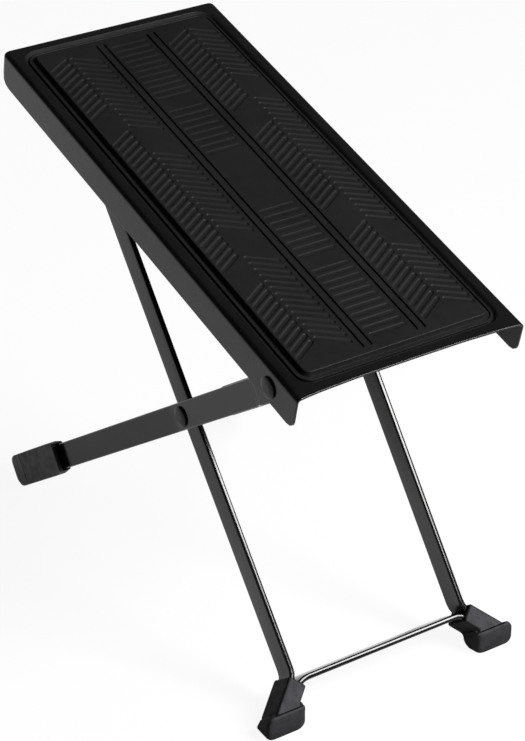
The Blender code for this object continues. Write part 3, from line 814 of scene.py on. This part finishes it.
# Pale floor, pale wall low round it, and two soft lamps
studio = {
    "floor": (0.88, 0.88, 0.89), "floorRough": 0.9, "floorGloss": 0.1,
    "floorReach": 6.0, "floorLevel": -0.0002,
    "cameraFloor": 0.92, "mirrorFloor": 0.54,  # how white the floor looks, seen and mirrored
    # painted shadow: mirrored, the floor's glow dims toward the object: from and to across, and
    # how bright at each
    "paintedFloorShadow": (-0.15, -0.08, 1.08, 0.66),
    "cameraWall": 0.93, "wallHeight": (0.02, 0.12),
    "worldColour": (0.97, 0.98, 1.0),
    "worldLevel": 0.045,
    "lamps": (
        # name, place, aims at, size, watts, colour
        ("keyBox", (1.03, 0.69, 1.16), (0.05, 0.0, 0.10), 0.58, 46.0, (1.0, 0.99, 0.98)),
        ("topBox", (-1.04, 0.97, 1.84), (0.0, 0.0, 0.15), 1.6, 0.8, (0.97, 0.98, 1.0)),
    ),
}


def layFloor():
    shape = bmesh.new()
    reach, level = studio["floorReach"], studio["floorLevel"]
    shape.faces.new([shape.verts.new((reach * x, reach * y, level))
                     for x, y in ((-1, -1), (1, -1), (1, 1), (-1, 1))])
    floor = newObject("studioFloor", newMesh("studioFloor", shape))
    finish, tree, shader = newFinish("paleFloor")
    shader.inputs["Base Color"].default_value = (*studio["floor"], 1)
    shader.inputs["Roughness"].default_value = studio["floorRough"]
    shader.inputs["Specular IOR Level"].default_value = studio["floorGloss"]
    glow = addNode(tree, "ShaderNodeEmission", Color=(1, 1, 1, 1), Strength=1.0)
    path = addNode(tree, "ShaderNodeLightPath")
    seen = calculate(tree, "MULTIPLY", path.outputs["Is Camera Ray"], studio["cameraFloor"])
    # painted shadow of the object in the floor's mirrored glow
    across = addNode(tree, "ShaderNodeSeparateXYZ", Vector=objectSpot(tree)).outputs[1]
    near, far, bright, dim = studio["paintedFloorShadow"]
    mirror = spread(tree, across, near, far, bright * studio["mirrorFloor"],
                    dim * studio["mirrorFloor"])
    share = calculate(tree, "MULTIPLY_ADD", path.outputs["Is Glossy Ray"], mirror, seen)
    mix = addNode(tree, "ShaderNodeMixShader", i0=share, i1=shader.outputs[0], i2=glow.outputs[0])
    tree.links.new(mix.outputs[0], tree.nodes["Material Output"].inputs["Surface"])
    wear(floor, finish)


def buildWorld():
    world = bpy.data.worlds.new("studioWorld")
    bpy.context.scene.world = world
    world.use_nodes = True
    tree = world.node_tree
    backdrop = tree.nodes["Background"]
    backdrop.inputs["Color"].default_value = (*studio["worldColour"], 1)
    way = addNode(tree, "ShaderNodeTexCoord").outputs["Generated"]
    height = addNode(tree, "ShaderNodeSeparateXYZ", Vector=way).outputs[2]
    path = addNode(tree, "ShaderNodeLightPath")
    wall = spread(tree, height, *studio["wallHeight"], studio["mirrorFloor"], 0.0)
    mirrored = calculate(tree, "MULTIPLY_ADD", path.outputs["Is Glossy Ray"], wall,
                         studio["worldLevel"])
    white = calculate(tree, "MULTIPLY_ADD", path.outputs["Is Camera Ray"], studio["cameraWall"],
                      mirrored)
    tree.links.new(white, backdrop.inputs["Strength"])


def hangLamps():
    for name, place, aim, size, watts, colour in studio["lamps"]:
        lamp = bpy.data.lights.new(name, "AREA")
        lamp.shape, lamp.size = "SQUARE", size
        lamp.energy, lamp.color = watts, colour
        holder = newObject(name, lamp)
        holder.location = place
        holder.rotation_euler = (Vector(aim) - Vector(place)).to_track_quat("-Z", "Y").to_euler()


layFloor()
buildWorld()
hangLamps()
print("studio lit")

# Camera as the photograph was taken, metres and radians
cameraPlan = {
    "place": (0.8541, -0.5233, 0.7205),
    "yaw": 2.585,
    "pitch": -0.542,
    "roll": 0.00795,
    "focalPixels": 2285.247,
    "longSidePixels": 741,
    "sensor": 36.0,
    "clip": (0.05, 30.0),
}


def placeCamera(plan):
    cosYaw, sinYaw = math.cos(plan["yaw"]), math.sin(plan["yaw"])
    cosPitch, sinPitch = math.cos(plan["pitch"]), math.sin(plan["pitch"])
    cosRoll, sinRoll = math.cos(plan["roll"]), math.sin(plan["roll"])
    ahead = Vector((cosPitch * cosYaw, cosPitch * sinYaw, sinPitch))
    level = Vector((sinYaw, -cosYaw, 0))
    below = ahead.cross(level)
    right = cosRoll * level + sinRoll * below
    down = -sinRoll * level + cosRoll * below
    data = bpy.data.cameras.new("photoCamera")
    data.sensor_fit = "AUTO"
    data.sensor_width = plan["sensor"]
    data.lens = plan["focalPixels"] * plan["sensor"] / plan["longSidePixels"]
    data.dof.use_dof = False
    data.clip_start, data.clip_end = plan["clip"]
    camera = newObject("photoCamera", data)
    turn = Matrix((right, -down, -ahead)).transposed()
    camera.matrix_world = Matrix.Translation(plan["place"]) @ turn.to_4x4()
    bpy.context.scene.camera = camera


placeCamera(cameraPlan)
bpy.context.scene.view_settings.view_transform = "Standard"
print("camera placed")
